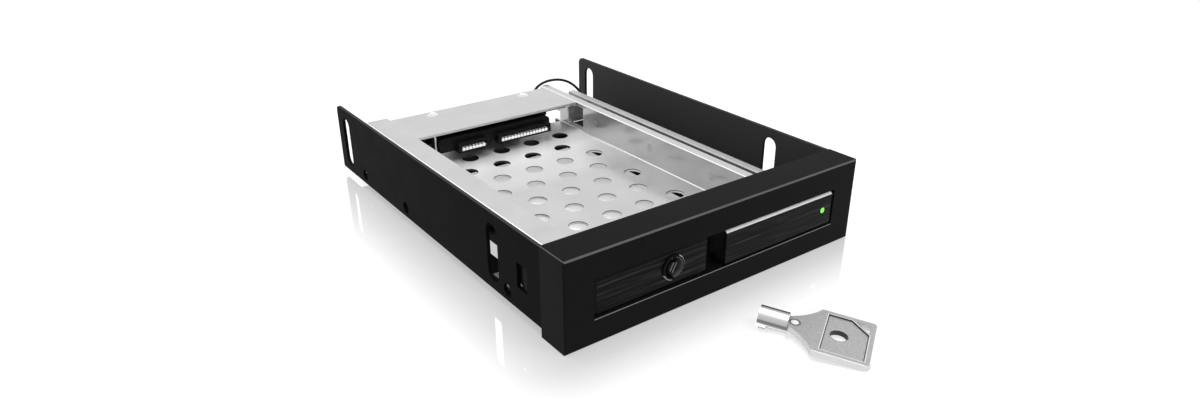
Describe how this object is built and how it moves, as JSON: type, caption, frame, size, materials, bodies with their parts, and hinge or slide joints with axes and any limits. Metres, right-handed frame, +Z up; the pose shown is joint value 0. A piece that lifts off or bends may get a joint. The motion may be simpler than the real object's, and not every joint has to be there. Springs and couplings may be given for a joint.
{
  "type": "hot swap drive cage",
  "caption": "Black bay frame with a silver tray for a small drive, a socket at the rear, a lockable hinged door, an ejector slide and a loose tubular key.",
  "frame": {"origin": "centre of the bezel's bottom face", "axes": "+X to the right along the bezel, seen from the front; +Y from the bezel to the rear, along the tray; +Z up"},
  "size_m": [0.1016, 0.182, 0.025],
  "materials": {
    "bezel_plastic": "black moulding with a fine satin grain",
    "chassis_paint": "black satin coating on sheet steel",
    "tray_metal": "bright satin sheet with a soft sheen",
    "screw_steel": "bright plated steel",
    "board_laminate": "near-black solder mask",
    "socket_plastic": "black moulded plastic",
    "header_plastic": "natural white moulding",
    "contact_gilt": "gilt contacts",
    "capacitor_can": "bright can",
    "lead_jacket": "black soft jacket",
    "led_lens": "green lens, lit",
    "light_pipe": "clear rod that glows green",
    "bush_metal": "turned, bright",
    "door_plastic": "black satin moulding",
    "door_panel": "black, brushed lengthwise",
    "lock_metal": "bright ring",
    "lock_plug_metal": "dull steel",
    "slide_metal": "plated sheet steel",
    "key_metal": "satin nickel plate"
  },
  "bodies": {
    "cage": {"bezel": "bezel_plastic", "chassis": "chassis_paint", "drive_tray": "tray_metal", "top_cover": "tray_metal", "cover_screws": "screw_steel", "cover_rivets": "tray_metal", "foot_screws": "screw_steel", "backplane": "board_laminate", "board_post": "socket_plastic", "board_spacers": "screw_steel", "board_nuts": "screw_steel", "board_chip": "socket_plastic", "board_capacitor": "capacitor_can", "sata_socket": "socket_plastic", "signal_contacts": "contact_gilt", "power_contacts": "contact_gilt", "data_port": "socket_plastic", "data_port_contacts": "contact_gilt", "power_port": "socket_plastic", "power_port_contacts": "contact_gilt", "lead_header": "header_plastic", "led_lead": "lead_jacket", "led": "led_lens", "led_holder": "socket_plastic", "guide_bushes": "bush_metal", "guide_rivets": "screw_steel"},
    "door": {"door_body": "door_plastic", "lock_panel": "door_panel", "handle_panel": "door_panel", "light_pipe": "light_pipe", "hinge_pins": "screw_steel", "yoke_pin": "screw_steel", "lock_barrel": "lock_metal", "lock_clip": "slide_metal"},
    "lock": {"lock_plug": "lock_plug_metal", "lock_cam": "slide_metal", "cam_screw": "screw_steel"},
    "ejector": {"ejector_slide": "slide_metal"},
    "key": {"key_bow": "key_metal", "key_tube": "key_metal"}
  },
  "joints": [
    {"name": "door_hinge", "type": "hinge", "parent": "cage", "child": "door", "pos_m": [0.038, -0.0028, 0.0124], "axis": [0, 0, 1], "range_deg": [0, 95]},
    {"name": "lock_turn", "type": "hinge", "parent": "door", "child": "lock", "pos_m": [-0.0175, -0.0047, 0.0124], "axis": [0, 1, 0], "range_deg": [0, 90]},
    {"name": "ejector_slide", "type": "slide", "parent": "cage", "child": "ejector", "axis": [0, -1, 0], "range_m": [0, 0.0052]},
    {"name": "key_lift", "type": "slide", "parent": "cage", "child": "key", "axis": [0, 0, 1], "range_m": [0, 0.03]}
  ],
  "couplings": [
    {"joint": "ejector_slide", "follows": "door_hinge", "m_per_rad": 0.003024}
  ]
}
